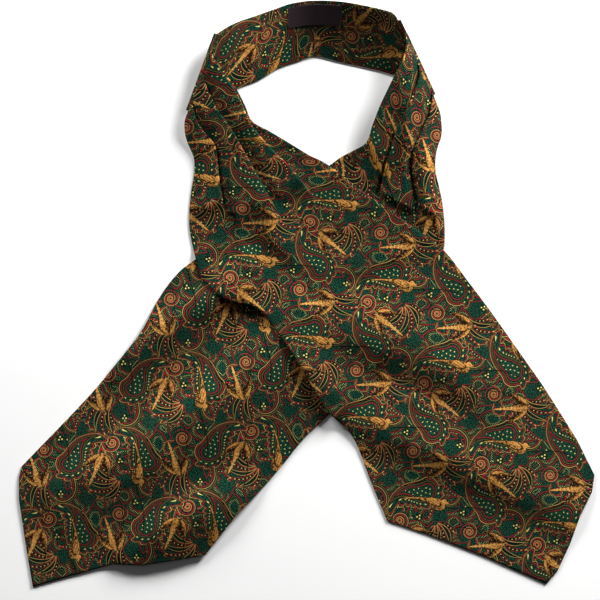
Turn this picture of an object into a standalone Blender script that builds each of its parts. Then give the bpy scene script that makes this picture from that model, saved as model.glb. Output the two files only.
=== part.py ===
"""A silk day cravat laid flat: a narrow pleated neckband that opens into two wide, crossed blades.

Each half of the cravat is one length of doubled silk. It starts at the centre-back seam, folds over at
the side of the neck loop, opens out of its pleats and ends in a point. The tables give each stretch as
sections across the cloth, in millimetres on the plane it lies on, +Y towards the back of the neck.
"""

import math
from collections import namedtuple

import bmesh
import bpy
import numpy as np

MM = 0.001

WALL = 1.2  # doubled silk with its interlining
SEAM_GAP = 0.3  # clearance between pieces that touch
LAYER_CLEARANCE = 0.8  # clearance where one wide blade crosses the other
FOLD_RADIUS = 1.7  # how loosely the neckband turns over at each side
UPPER_TURNS = (0.42, 0.28, 0.14)  # facets of that turn, in half circles from its top
LOWER_TURNS = (0.14, 0.28, 0.42)  # and from its underside
PLEAT_RADIUS = (WALL + SEAM_GAP) / 2  # half the step between two layers of a pleat
PLEAT_ROOM = 4.0  # a strip narrower than this has only part of its pleat
DEEPEST_RETURN = 0.4  # how much of a strip its pleat's hidden return may take up
OPENING_LIFE = 0.4  # how much of a pleat's life is left once its return is gone and its turns open
OPEN_ARC = 0.2  # how much cloth an opened turn keeps of a full one
LEAST_TURN = 0.02  # the turn of a pleat that has died out, in half circles
LEVEL_BEFORE_TURN = 1.5  # a strip is level this far before its folded edge
SHORTEST_CLIMB = 0.5  # and climbs off the strip before it over at least this much
FADED_END = 0.08  # how far along the arch of its height a soft fold starts, and stops before its end
ARCH_FULLNESS = 0.6  # under 1, a fold keeps most of its height until near its ends
ARC_STEPS = 4  # facets in each turn of a pleat
STRIP_STEPS = 4  # facets across each strip between pleats
PLEAT_STEP = 0.5  # sections between the rows of facets along the pleats
BLADE_STEP = 0.36  # and along a blade
OVER_CELLS = 30  # facets across the upper blade
UNDER_CELLS = 25  # and across the lower one
BAND_LEFT_ROWS = 12  # rows of facets from the left fold to the centre-back seam
BAND_RIGHT_ROWS = 10  # and from the right fold
END_STEPS = (0.26, 0.5, 0.75, 1.0)  # rows of facets from a blade's last section to its pointed end
SEAM_ROWS = 0.015  # the seam gap between two stretches, in sections
LABEL_SIZE = (39.0, 15.0)
LABEL_WALL = 1.0
LABEL_DROP = 2.5  # from the neckband's top edge to the label
LABEL_REACH = 2  # neckband sections on either side of the seam that the label may touch
LABEL_SAMPLES = 81  # places at which those sections are measured
REST_SNAP = 0.3  # cloth this near the ground lies on it

SILK_COLOUR = (0.016, 0.042, 0.029, 1.0)
SILK_ROUGHNESS = 0.45
LABEL_COLOUR = (0.022, 0.014, 0.012, 1.0)
LABEL_ROUGHNESS = 0.7

# ---------------------------------------------------------------- sections

# One row for each section across a half: its outer and its inner edge, how high each edge lies, and how
# far across, from 0 at the outer edge, each pleat's folded edge runs.
Section = namedtuple("Section", "outer_x outer_y inner_x inner_y outer_lift inner_lift pleats")

# From the fold at the left of the neck loop to where the upper blade ends.
LEFT_HALF = [
    Section(-85.9, 134.0, -68.8, 179.0, 3.4, 12.5, (0.16, 0.58, 0.93)),
    Section(-88.6, 125.9, -60.6, 163.2, 2.6, 12.7, (0.22, 0.60, 0.96)),
    Section(-88.2, 116.2, -50.4, 148.6, 1.4, 13.0, (0.25, 0.60, 0.965)),
    Section(-85.4, 107.7, -44.5, 136.9, 0.4, 13.0, (0.30, 0.64, 0.965)),
    Section(-82.1, 99.6, -39.4, 125.9, 0.2, 12.8, (0.35, 0.68, 0.95)),
    Section(-81.8, 89.4, -26.6, 118.6, 0.0, 12.4, (0.30, 0.62, 0.87)),
    Section(-84.0, 74.8, -12.0, 109.9, 0.0, 11.8, (0.28, 0.60, 0.835)),
    Section(-85.4, 60.2, 1.8, 101.5, 0.0, 11.0, (0.27, 0.585, 0.825)),
    Section(-85.0, 45.6, 16.4, 93.8, 0.0, 10.0, (0.25, 0.56, 0.79)),
    Section(-81.0, 27.4, 43.4, 73.4, 0.0, 8.0, (0.19, 0.51, 0.74)),
    Section(-74.8, 11.3, 71.2, 53.7, 0.0, 5.6, (0.17, 0.47, 0.70)),
    Section(-59.5, -3.3, 98.8, 33.4, 0.0, 3.2, (0.15, 0.43, 0.66)),
    Section(-36.1, -9.9, 117.8, 9.6, 0.0, 1.3, (0.15, 0.43, 0.66)),
    Section(-18.6, -30.3, 135.2, -13.6, 0.0, 0.3, (0.15, 0.43, 0.66)),
    Section(-2.6, -55.1, 152.4, -38.0, 0.0, 0.0, (0.15, 0.43, 0.66)),
    Section(14.2, -83.6, 170.6, -63.9, 0.0, 0.0, (0.15, 0.43, 0.66)),
    Section(33.2, -102.6, 184.4, -85.4, 0.0, 0.0, (0.15, 0.43, 0.66)),
    Section(45.6, -133.2, 197.5, -106.2, 0.0, 0.0, (0.15, 0.43, 0.66)),
]

# From the fold at the right of the neck loop to where the lower blade ends.
RIGHT_HALF = [
    Section(92.2, 145.4, 71.5, 189.0, 2.6, 18.0, (0.13, 0.56)),
    Section(96.7, 134.0, 72.6, 181.0, 1.8, 18.6, (0.21, 0.60)),
    Section(98.2, 125.2, 69.7, 170.5, 1.0, 18.8, (0.26, 0.615)),
    Section(98.2, 115.7, 63.9, 158.8, 0.4, 18.6, (0.285, 0.63)),
    Section(95.3, 106.9, 58.4, 147.8, 0.0, 17.8, (0.30, 0.63)),
    Section(93.8, 98.2, 53.3, 136.9, 0.0, 16.0, (0.33, 0.65)),
    Section(94.0, 89.4, 48.2, 123.7, 0.0, 13.4, (0.36, 0.665)),
    Section(96.4, 78.5, 43.4, 110.6, 0.0, 10.6, (0.36, 0.685)),
    Section(98.5, 69.0, 33.2, 104.3, 0.0, 8.0, (0.285, 0.63)),
    Section(100.0, 58.0, 24.5, 99.6, 0.0, 5.8, (0.235, 0.59)),
    Section(100.7, 45.6, 16.4, 93.8, 0.0, 3.8, (0.25, 0.57)),
    Section(99.6, 31.0, -4.7, 79.2, 0.0, 1.6, (0.27, 0.54)),
    Section(91.6, 14.2, -26.6, 64.6, 0.0, 0.4, (0.27, 0.54)),
    Section(75.6, -11.3, -48.5, 48.5, 0.0, 0.0, (0.27, 0.54)),
    Section(57.3, -36.9, -80.7, 25.9, 0.0, 0.0, (0.27, 0.54)),
    Section(47.5, -49.6, -94.2, 15.2, 0.0, 0.0, (0.27, 0.54)),
    Section(37.6, -62.4, -107.2, -2.2, 0.0, 0.0, (0.27, 0.54)),
    Section(17.2, -86.5, -120.1, -26.6, 0.0, 0.0, (0.27, 0.54)),
    Section(-1.8, -104.8, -137.6, -49.3, 0.0, 0.0, (0.27, 0.54)),
    Section(-23.7, -131.8, -158.0, -73.4, 0.0, 0.0, (0.27, 0.54)),
    Section(-51.5, -161.3, -185.8, -102.6, 0.0, 0.0, (0.27, 0.54)),
]

# The pointed end of each blade, from its outer corner round the tip to its inner corner.
EndPoint = namedtuple("EndPoint", "across x y")
LEFT_END = [
    EndPoint(0.00, 58.8, -165.3),
    EndPoint(0.20, 87.2, -174.8),
    EndPoint(0.42, 128.8, -190.9),
    EndPoint(0.60, 174.8, -211.3),
    EndPoint(0.68, 183.6, -201.1),
    EndPoint(0.76, 192.4, -182.1),
    EndPoint(0.85, 199.7, -161.3),
    EndPoint(0.95, 208.4, -144.2),
    EndPoint(1.00, 210.2, -131.8),
]
RIGHT_END = [
    EndPoint(0.00, -74.1, -190.2),
    EndPoint(0.12, -96.0, -193.8),
    EndPoint(0.24, -120.1, -197.5),
    EndPoint(0.34, -141.3, -196.7),
    EndPoint(0.48, -171.9, -205.5),
    EndPoint(0.60, -199.7, -213.5),
    EndPoint(0.72, -204.8, -183.6),
    EndPoint(0.86, -209.9, -149.3),
    EndPoint(0.95, -209.9, -134.0),
    EndPoint(1.00, -207.7, -125.2),
]
LEFT_SPLIT = 9  # the section where the pleated stretch hands over to the blade
RIGHT_SPLIT = 11

# The back of the neckband, inner face up, from the left fold round to the right one.
BandSection = namedtuple("BandSection", "top_x top_y loop_x loop_y top_lift")
NECKBAND = [
    BandSection(-65.2, 189.6, -85.9, 134.0, 10.9),
    BandSection(-56.6, 195.4, -61.7, 144.9, 8.4),
    BandSection(-47.5, 199.4, -47.8, 151.5, 6.2),
    BandSection(-34.5, 203.9, -34.7, 156.6, 5.0),
    BandSection(-21.5, 208.5, -20.8, 165.0, 5.2),
    BandSection(-9.9, 212.1, -8.4, 169.4, 8.0),
    BandSection(5.9, 213.7, 5.9, 173.7, 15.0),
    BandSection(24.5, 212.6, 24.5, 169.7, 20.5),
    BandSection(41.2, 209.8, 41.2, 166.1, 21.8),
    BandSection(54.4, 206.9, 57.3, 162.1, 21.2),
    BandSection(62.5, 204.4, 71.9, 156.6, 19.4),
    BandSection(66.4, 199.0, 92.2, 145.4, 16.5),
]
BACK_SEAM = 6  # the neckband section at the centre-back seam

# ---------------------------------------------------------------- pleats and folds

# One row for each pleat: how deep its hidden return is, and the sections where it is fully formed, where
# it starts to open and where it has died out.
Pleat = namedtuple("Pleat", "depth formed opens gone")
LEFT_PLEATS = [
    Pleat(5.0, 0.9, 5.5, 8.2),
    Pleat(6.0, 0.7, 6.0, 9.3),
    Pleat(5.0, 1.2, 6.5, 8.9),
]
RIGHT_PLEATS = [
    Pleat(6.0, 0.9, 7.5, 10.3),
    Pleat(6.0, 0.7, 8.5, 10.5),
]

# One row for each large soft fold: its line through three points, its height, and how far its flank
# reaches on the left and on the right of that line.
Fold = namedtuple("Fold", "x0 y0 x1 y1 x2 y2 height left_width right_width")
LEFT_FOLDS = [
    Fold(-34.0, 74.0, -26.0, 54.0, -8.0, 26.0, 2.5, 9.0, 9.0),
    Fold(-8.0, 27.0, 28.0, 19.0, 84.0, 34.0, 1.6, 13.0, 8.0),
    Fold(-56.0, 2.0, -44.0, -5.5, -22.0, -14.0, 3.0, 12.0, 9.0),
    Fold(-10.0, -38.0, 2.0, -58.0, 14.0, -84.0, 4.0, 15.0, 10.0),
    Fold(-8.0, -10.0, 54.0, -36.0, 122.0, -66.0, 5.0, 26.0, 16.0),
    Fold(26.0, -86.0, 92.0, -114.0, 196.0, -164.0, 5.5, 24.0, 14.0),
    Fold(70.0, -14.0, 112.0, -60.0, 166.0, -124.0, 3.5, 34.0, 20.0),
]
RIGHT_FOLDS = [
    Fold(70.0, 178.0, 76.0, 114.0, 91.0, 44.0, 5.5, 18.0, 9.0),
    Fold(58.0, 116.0, 52.0, 98.0, 50.0, 84.0, 2.0, 8.0, 8.0),
    Fold(-12.0, -28.0, -88.0, -90.0, -182.0, -146.0, 10.0, 40.0, 16.0),
    Fold(-48.0, -144.0, -88.0, -162.0, -130.0, -192.0, 8.5, 26.0, 14.0),
    Fold(-42.0, 18.0, -96.0, -20.0, -136.0, -54.0, 6.0, 14.0, 12.0),
]

# The upper blade climbs onto the lower one inside these two of the lower blade's edges.
Edge = namedtuple("Edge", "x0 y0 x1 y1")
LOWER_OUTER_EDGE = Edge(107.0, 28.0, 21.0, -88.0)
LOWER_INNER_EDGE = Edge(16.4, 93.8, -80.7, 25.9)
CLIMB = 9.0  # how far out the upper blade comes down again

# ---------------------------------------------------------------- curves


def smooth_step(value):
    """0 below 0, 1 above 1, and a soft climb between."""
    value = min(1.0, max(0.0, value))
    return value * value * (3 - 2 * value)


def between_rows(rows, place):
    """The columns of a table at a fractional row, on a smooth curve through the rows."""
    flat = [np.hstack([np.atleast_1d(column) for column in row]) for row in rows]
    first = min(int(place), len(flat) - 2)
    share = place - first
    before = flat[max(first - 1, 0)]
    start = flat[first]
    end = flat[first + 1]
    after = flat[min(first + 2, len(flat) - 1)]
    leave = (end - before) / 2
    arrive = (after - start) / 2
    cube, square = share**3, share**2
    return (
        (2 * cube - 3 * square + 1) * start
        + (cube - 2 * square + share) * leave
        + (3 * square - 2 * cube) * end
        + (cube - square) * arrive
    )


def every(first, last, step):
    """Places from first to last, about a step apart."""
    return np.linspace(first, last, max(1, round((last - first) / step)) + 1)


def on_end(end, across):
    """The point of a blade's pointed end at this share across."""
    shares = [point.across for point in end]
    x = np.interp(across, shares, [point.x for point in end])
    y = np.interp(across, shares, [point.y for point in end])
    return np.array([x, y])


def fold_line(fold, steps=48):
    """Points along a fold's line, a parabola through its three points."""
    share = np.linspace(0.0, 1.0, steps + 1)[:, None]
    start = np.array([fold.x0, fold.y0])
    middle = np.array([fold.x1, fold.y1])
    end = np.array([fold.x2, fold.y2])
    knee = 2 * middle - (start + end) / 2
    return (1 - share) ** 2 * start + 2 * share * (1 - share) * knee + share**2 * end


def fold_lift(folds, point):
    """How far the soft folds raise the cloth at a point."""
    lift = 0.0
    for fold in folds:
        line = fold_line(fold)
        nearest = int(np.linalg.norm(line - point, axis=1).argmin())
        last = len(line) - 1
        before, after = max(nearest - 1, 0), min(nearest + 1, last)
        run = (line[after] - line[before]) / (after - before)
        step = np.linalg.norm(run)
        off = np.array(point) - line[nearest]
        aside = (run[0] * off[1] - run[1] * off[0]) / step
        width = fold.left_width if aside > 0 else fold.right_width
        place = nearest + float(run @ off) / step**2
        on_line = min(max(place, 0.0), last)
        beyond = (place - on_line) * step / min(fold.left_width, fold.right_width)
        share = FADED_END + (1 - 2 * FADED_END) * on_line / last
        arch = math.sin(math.pi * share) ** ARCH_FULLNESS
        lift += fold.height * arch * math.exp(-((aside / width) ** 2) - beyond**2)
    return lift


def inside(edge, point):
    """Signed distance of a point from an edge, positive to the right of its run."""
    run = np.array([edge.x1 - edge.x0, edge.y1 - edge.y0])
    run /= np.linalg.norm(run)
    return (point[0] - edge.x0) * run[1] - (point[1] - edge.y0) * run[0]


def crossing_lift(point):
    """How far the upper blade is raised by the lower one beneath it."""
    from_outer = smooth_step(1 + inside(LOWER_OUTER_EDGE, point) / CLIMB)
    from_inner = smooth_step(1 - inside(LOWER_INNER_EDGE, point) / CLIMB)
    return (WALL + LAYER_CLEARANCE + fold_lift(RIGHT_FOLDS, point)) * from_outer * from_inner


# ---------------------------------------------------------------- the pleated profile


def pleat_life(pleat, place):
    """1 where a pleat is fully formed, falling to 0 at the fold and where it dies out."""
    forming = smooth_step(place / pleat.formed)
    dying = 1 - smooth_step((place - pleat.opens) / (pleat.gone - pleat.opens))
    return forming * dying


def profile(width, edges, pleats, place):
    """(across, height) points over a section, folded into a Z at each pleat.

    A pleat is two turns with a straight return between them. As it dies, its return shortens first and
    then the turns open out flat.
    """
    points = []
    start = 0.0
    clear_of = 0.0
    for edge, pleat in zip(edges, pleats):
        edge_at = edge * width
        room = edge_at - clear_of
        life = pleat_life(pleat, place) * smooth_step(room / PLEAT_ROOM)
        openness = min(1.0, life / OPENING_LIFE)
        turn = math.pi * max(openness, LEAST_TURN)
        arc = math.pi * PLEAT_RADIUS * (OPEN_ARC + (1 - OPEN_ARC) * openness)
        radius = arc / turn
        depth = min(pleat.depth, DEEPEST_RETURN * room) * max(0.0, (life - OPENING_LIFE) / (1 - OPENING_LIFE))
        rise = 2 * radius * (1 - math.cos(turn)) + depth * math.sin(turn)
        turn_at = edge_at - min(radius, arc / 2)
        climb_from = clear_of + SEAM_GAP
        climb_to = max(turn_at - depth - LEVEL_BEFORE_TURN, climb_from + SHORTEST_CLIMB)
        for step in range(STRIP_STEPS):
            across = start + (turn_at - start) * step / STRIP_STEPS
            climbed = smooth_step((across - climb_from) / (climb_to - climb_from))
            points.append((across, rise * climbed))
        for step in range(ARC_STEPS + 1):
            angle = turn * step / ARC_STEPS
            drop = radius * (1 - math.cos(angle))
            points.append((turn_at + radius * math.sin(angle), rise - drop))
        back_at = turn_at + radius * math.sin(turn) + depth * math.cos(turn)
        back_height = rise - radius * (1 - math.cos(turn)) - depth * math.sin(turn)
        for step in range(ARC_STEPS + 1):
            angle = turn * (1 - step / ARC_STEPS)
            across = back_at + radius * (math.sin(turn) - math.sin(angle))
            height = back_height - radius * (math.cos(angle) - math.cos(turn))
            points.append((across, height))
        start = points.pop()[0]
        clear_of = edge_at
    last = 2 * STRIP_STEPS
    for step in range(last + 1):
        points.append((start + (width - start) * step / last, 0.0))
    return points


# ---------------------------------------------------------------- surfaces


def resting_point(at, lift, folds, crosses):
    """A point of the middle surface over this place, raised by what lies under it and by its folds."""
    if crosses:
        lift = max(lift, crossing_lift(at))
    return [at[0], at[1], WALL / 2 + lift + fold_lift(folds, at)]


def half_point(section, share, height, folds, crosses):
    """A point of a half's middle surface, this share across a section."""
    at = section[0:2] + (section[2:4] - section[0:2]) * share
    lift = section[4] + (section[5] - section[4]) * share
    point = resting_point(at, lift, folds, crosses)
    point[2] += height
    return point


def outward_of(start, end):
    """The level direction square to a line, pointing away from the middle of the neck loop."""
    run = (end - start) / np.linalg.norm(end - start)
    outward = np.array([-run[1], run[0]])
    return outward if outward[0] * start[0] > 0 else -outward


def turned(point, outward, half_circles, rising):
    """A point moved round the side fold, from the cloth above it or, rising, from the cloth below it."""
    angle = math.pi * half_circles
    drop = FOLD_RADIUS * (1 - math.cos(angle))
    out = outward * FOLD_RADIUS * math.sin(angle)
    return [point[0] + out[0], point[1] + out[1], point[2] + (drop if rising else -drop)]


def pleated_rows(rows, pleats, folds, crosses, places):
    """The rows of a pleated stretch: it comes over the side fold and then opens out."""
    surface = []
    section = between_rows(rows, 0)
    outward = outward_of(section[0:2], section[2:4])
    width = np.linalg.norm(section[2:4] - section[0:2])
    for half_circles in UPPER_TURNS:
        flat = [
            half_point(section, across / width, 0.0, folds, crosses)
            for across, _ in profile(width, section[6:], pleats, 0)
        ]
        surface.append([turned(point, outward, half_circles, rising=False) for point in flat])
    for place in places:
        section = between_rows(rows, place)
        width = np.linalg.norm(section[2:4] - section[0:2])
        shape = profile(width, section[6:], pleats, place)
        surface.append(
            [half_point(section, across / width, height, folds, crosses) for across, height in shape]
        )
    return surface


def blade_rows(rows, end, folds, crosses, places, steps_across):
    """The rows of a wide blade, from its first section to its pointed end."""
    surface = []
    shares = np.linspace(0.0, 1.0, steps_across + 1)
    for place in places:
        section = between_rows(rows, place)
        surface.append([half_point(section, share, 0.0, folds, crosses) for share in shares])
    last = between_rows(rows, len(rows) - 1)
    for step in END_STEPS:
        row = []
        for share in shares:
            straight = last[0:2] + (last[2:4] - last[0:2]) * share
            at = straight + (on_end(end, share) - straight) * step
            row.append(resting_point(at, 0.0, folds, crosses))
        surface.append(row)
    return surface


def band_point(place, share, above=0.0):
    """A point of the neckband, this share from its top edge to its loop edge, raised by a distance."""
    section = between_rows(NECKBAND, place)
    top = np.array([section[0], section[1], section[4]])
    loop = np.array([section[2], section[3], 0.0])
    point = top + (loop - top) * share
    slope = loop - top
    normal = np.array([-slope[0] * slope[2], -slope[1] * slope[2], slope[0] ** 2 + slope[1] ** 2])
    normal /= np.linalg.norm(normal)
    return list(point + normal * above + np.array([0.0, 0.0, WALL / 2]))


def band_rows(end, seam, steps_along, steps_across=6):
    """The rows of one half of the neckband's back, from under the side fold to the centre-back seam."""
    shares = np.linspace(0.0, 1.0, steps_across + 1)
    last = [np.array(band_point(end, share)) for share in shares]
    outward = outward_of(last[0][:2], last[-1][:2])
    surface = [
        [turned(point, outward, half_circles, rising=True) for point in last]
        for half_circles in reversed(LOWER_TURNS)
    ]
    for place in np.linspace(end, seam, steps_along + 1):
        surface.append([band_point(place, share) for share in shares])
    return surface


def label_rows(steps_along=8, steps_across=3):
    """The rows of the woven label, moved out from the neckband's own points."""
    above = WALL / 2 + SEAM_GAP + LABEL_WALL / 2
    surface = []
    for along in np.linspace(-0.5, 0.5, steps_along + 1):
        x = NECKBAND[BACK_SEAM].top_x + along * LABEL_SIZE[0]
        places = np.linspace(BACK_SEAM - LABEL_REACH, BACK_SEAM + LABEL_REACH, LABEL_SAMPLES)
        place = np.interp(x, [between_rows(NECKBAND, one)[0] for one in places], places)
        section = between_rows(NECKBAND, place)
        length = math.hypot(section[0] - section[2], section[1] - section[3])
        shares = (LABEL_DROP + LABEL_SIZE[1] * np.linspace(0.0, 1.0, steps_across + 1)) / length
        surface.append([band_point(place, share, above) for share in shares])
    return surface


# ---------------------------------------------------------------- solids


def cloth_material(name, colour, roughness):
    material = bpy.data.materials.new(name)
    material.use_nodes = True
    surface = material.node_tree.nodes["Principled BSDF"]
    surface.inputs["Base Color"].default_value = colour
    surface.inputs["Roughness"].default_value = roughness
    surface.inputs["Metallic"].default_value = 0.0
    material.diffuse_color = colour
    return material


def cloth(name, rows, material, wall=WALL, rests=True):
    """A closed wall of cloth on a grid of middle points, flat underneath where it rests."""
    along, across = len(rows) - 1, len(rows[0]) - 1
    middle = bmesh.new()
    bmesh.ops.create_grid(middle, x_segments=along, y_segments=across, size=0.5)
    for vertex in middle.verts:
        row = round((vertex.co.x + 0.5) * along)
        column = round((vertex.co.y + 0.5) * across)
        vertex.co = [MM * value for value in rows[row][column]]
    bmesh.ops.recalc_face_normals(middle, faces=middle.faces)
    mesh = bpy.data.meshes.new(name)
    middle.to_mesh(mesh)
    middle.free()
    solid = bpy.data.objects.new(name, mesh)
    bpy.context.scene.collection.objects.link(solid)
    thicken = solid.modifiers.new("wall", "SOLIDIFY")
    thicken.thickness = wall * MM
    thicken.offset = 0.0
    walled = bpy.data.meshes.new_from_object(solid.evaluated_get(bpy.context.evaluated_depsgraph_get()))
    solid.modifiers.clear()
    solid.data = walled
    walled.name = name
    walled.materials.append(material)
    for vertex in walled.vertices:
        if rests and vertex.co.z < REST_SNAP * MM:
            vertex.co.z = 0.0
    top = max(vertex.co.z for vertex in walled.vertices) / MM
    print(f"{name}: {along} x {across} cells, {len(walled.polygons)} faces, top at {top:.1f} mm")
    return solid


def clear_scene():
    for thing in list(bpy.data.objects):
        bpy.data.objects.remove(thing)


def build():
    clear_scene()
    silk = cloth_material("printed_silk_twill", SILK_COLOUR, SILK_ROUGHNESS)
    woven = cloth_material("woven_label", LABEL_COLOUR, LABEL_ROUGHNESS)

    left_places = every(0, LEFT_SPLIT - SEAM_ROWS, PLEAT_STEP)
    right_places = every(0, RIGHT_SPLIT - SEAM_ROWS, PLEAT_STEP)
    over_places = every(LEFT_SPLIT, len(LEFT_HALF) - 1, BLADE_STEP)
    under_places = every(RIGHT_SPLIT, len(RIGHT_HALF) - 1, BLADE_STEP)
    cloth("pleats_left", pleated_rows(LEFT_HALF, LEFT_PLEATS, LEFT_FOLDS, True, left_places), silk)
    cloth("pleats_right", pleated_rows(RIGHT_HALF, RIGHT_PLEATS, RIGHT_FOLDS, False, right_places), silk)
    over = blade_rows(LEFT_HALF, LEFT_END, LEFT_FOLDS, True, over_places, OVER_CELLS)
    under = blade_rows(RIGHT_HALF, RIGHT_END, RIGHT_FOLDS, False, under_places, UNDER_CELLS)
    cloth("blade_over", over, silk)
    cloth("blade_under", under, silk)
    cloth("neckband_left", band_rows(0, BACK_SEAM - SEAM_ROWS, BAND_LEFT_ROWS), silk)
    cloth("neckband_right", band_rows(len(NECKBAND) - 1, BACK_SEAM + SEAM_ROWS, BAND_RIGHT_ROWS), silk)
    cloth("neckband_label", label_rows(), woven, LABEL_WALL, rests=False)


build()
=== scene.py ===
# %% [markdown]
# # A silk day cravat, laid flat
#
# A day cravat is one long scarf of doubled silk. Its middle is pleated down to a narrow neckband, and
# its ends are wide, pointed blades. Here it lies on a table with the neckband away from us, inner face
# up. Each side of the neckband folds over, opens out of its pleats and becomes a blade, and the two
# blades cross. The finish that makes it silk is a dense print of paisleys, leaf fans and game birds on
# bottle green, on twill with a soft sheen.

# %% Load the frame
import ast
import math
from collections import namedtuple
from textwrap import dedent
from types import SimpleNamespace

import bmesh
import bpy
import numpy as np
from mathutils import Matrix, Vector


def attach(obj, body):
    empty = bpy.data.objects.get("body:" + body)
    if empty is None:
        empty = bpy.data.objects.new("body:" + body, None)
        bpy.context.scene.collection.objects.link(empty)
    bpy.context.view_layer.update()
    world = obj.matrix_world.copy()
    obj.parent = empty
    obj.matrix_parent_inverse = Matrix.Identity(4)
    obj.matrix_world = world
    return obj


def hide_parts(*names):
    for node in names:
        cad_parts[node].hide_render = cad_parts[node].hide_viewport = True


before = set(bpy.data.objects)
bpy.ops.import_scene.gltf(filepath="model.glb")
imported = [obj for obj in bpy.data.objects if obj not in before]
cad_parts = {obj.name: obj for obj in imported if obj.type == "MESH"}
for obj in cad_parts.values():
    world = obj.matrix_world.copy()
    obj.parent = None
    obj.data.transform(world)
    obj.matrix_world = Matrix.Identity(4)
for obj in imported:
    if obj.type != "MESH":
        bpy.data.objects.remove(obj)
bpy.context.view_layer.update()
print("solids to dress:", ", ".join(sorted(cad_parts)))

# %% [markdown]
# ## The cut of the cravat
#
# Cloth that lies flat is easiest to describe by sections across it, as a pattern cutter would: where the
# outer and the inner edge are, how high each lies, and where each pleat's folded edge runs between them.
# A smooth curve through a few such sections gives the whole outline. All of these are in millimetres on
# the table, +Y towards the back of the neck.

# %% Sections across each half
MM = 0.001
CLOTH_STACK = 1.2  # the height that one length of doubled silk takes up
SILK_WALL = 0.9  # two layers of silk twill with a thin interlining
SEAM_GAP = 0.3
LAYER_CLEARANCE = 0.8  # air between the two blades where they cross

Section = namedtuple("Section", "outer_x outer_y inner_x inner_y outer_lift inner_lift pleats")
LEFT_HALF = [
    Section(-85.9, 134.0, -68.8, 179.0, 3.4, 12.5, (0.16, 0.58, 0.93)),
    Section(-88.6, 125.9, -60.6, 163.2, 2.6, 12.7, (0.22, 0.60, 0.96)),
    Section(-88.2, 116.2, -50.4, 148.6, 1.4, 13.0, (0.25, 0.60, 0.965)),
    Section(-85.4, 107.7, -44.5, 136.9, 0.4, 13.0, (0.30, 0.64, 0.965)),
    Section(-82.1, 99.6, -39.4, 125.9, 0.2, 12.8, (0.35, 0.68, 0.95)),
    Section(-81.8, 89.4, -26.6, 118.6, 0.0, 12.4, (0.30, 0.62, 0.87)),
    Section(-84.0, 74.8, -12.0, 109.9, 0.0, 11.8, (0.28, 0.60, 0.835)),
    Section(-85.4, 60.2, 1.8, 101.5, 0.0, 11.0, (0.27, 0.585, 0.825)),
    Section(-85.0, 45.6, 16.4, 93.8, 0.0, 10.0, (0.25, 0.56, 0.79)),
    Section(-81.0, 27.4, 43.4, 73.4, 0.0, 8.0, (0.19, 0.51, 0.74)),
    Section(-74.8, 11.3, 71.2, 53.7, 0.0, 5.6, (0.17, 0.47, 0.70)),
    Section(-59.5, -3.3, 98.8, 33.4, 0.0, 3.2, (0.15, 0.43, 0.66)),
    Section(-36.1, -9.9, 117.8, 9.6, 0.0, 1.3, (0.15, 0.43, 0.66)),
    Section(-18.6, -30.3, 135.2, -13.6, 0.0, 0.3, (0.15, 0.43, 0.66)),
    Section(-2.6, -55.1, 152.4, -38.0, 0.0, 0.0, (0.15, 0.43, 0.66)),
    Section(14.2, -83.6, 170.6, -63.9, 0.0, 0.0, (0.15, 0.43, 0.66)),
    Section(33.2, -102.6, 184.4, -85.4, 0.0, 0.0, (0.15, 0.43, 0.66)),
    Section(45.6, -133.2, 197.5, -106.2, 0.0, 0.0, (0.15, 0.43, 0.66)),
]
RIGHT_HALF = [
    Section(92.2, 145.4, 71.5, 189.0, 2.6, 18.0, (0.13, 0.56)),
    Section(96.7, 134.0, 72.6, 181.0, 1.8, 18.6, (0.21, 0.60)),
    Section(98.2, 125.2, 69.7, 170.5, 1.0, 18.8, (0.26, 0.615)),
    Section(98.2, 115.7, 63.9, 158.8, 0.4, 18.6, (0.285, 0.63)),
    Section(95.3, 106.9, 58.4, 147.8, 0.0, 17.8, (0.30, 0.63)),
    Section(93.8, 98.2, 53.3, 136.9, 0.0, 16.0, (0.33, 0.65)),
    Section(94.0, 89.4, 48.2, 123.7, 0.0, 13.4, (0.36, 0.665)),
    Section(96.4, 78.5, 43.4, 110.6, 0.0, 10.6, (0.36, 0.685)),
    Section(98.5, 69.0, 33.2, 104.3, 0.0, 8.0, (0.285, 0.63)),
    Section(100.0, 58.0, 24.5, 99.6, 0.0, 5.8, (0.235, 0.59)),
    Section(100.7, 45.6, 16.4, 93.8, 0.0, 3.8, (0.25, 0.57)),
    Section(99.6, 31.0, -4.7, 79.2, 0.0, 1.6, (0.27, 0.54)),
    Section(91.6, 14.2, -26.6, 64.6, 0.0, 0.4, (0.27, 0.54)),
    Section(75.6, -11.3, -48.5, 48.5, 0.0, 0.0, (0.27, 0.54)),
    Section(57.3, -36.9, -80.7, 25.9, 0.0, 0.0, (0.27, 0.54)),
    Section(47.5, -49.6, -94.2, 15.2, 0.0, 0.0, (0.27, 0.54)),
    Section(37.6, -62.4, -107.2, -2.2, 0.0, 0.0, (0.27, 0.54)),
    Section(17.2, -86.5, -120.1, -26.6, 0.0, 0.0, (0.27, 0.54)),
    Section(-1.8, -104.8, -137.6, -49.3, 0.0, 0.0, (0.27, 0.54)),
    Section(-23.7, -131.8, -158.0, -73.4, 0.0, 0.0, (0.27, 0.54)),
    Section(-51.5, -161.3, -185.8, -102.6, 0.0, 0.0, (0.27, 0.54)),
]
print(f"{len(LEFT_HALF)} sections on the left half, {len(RIGHT_HALF)} on the right")

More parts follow.
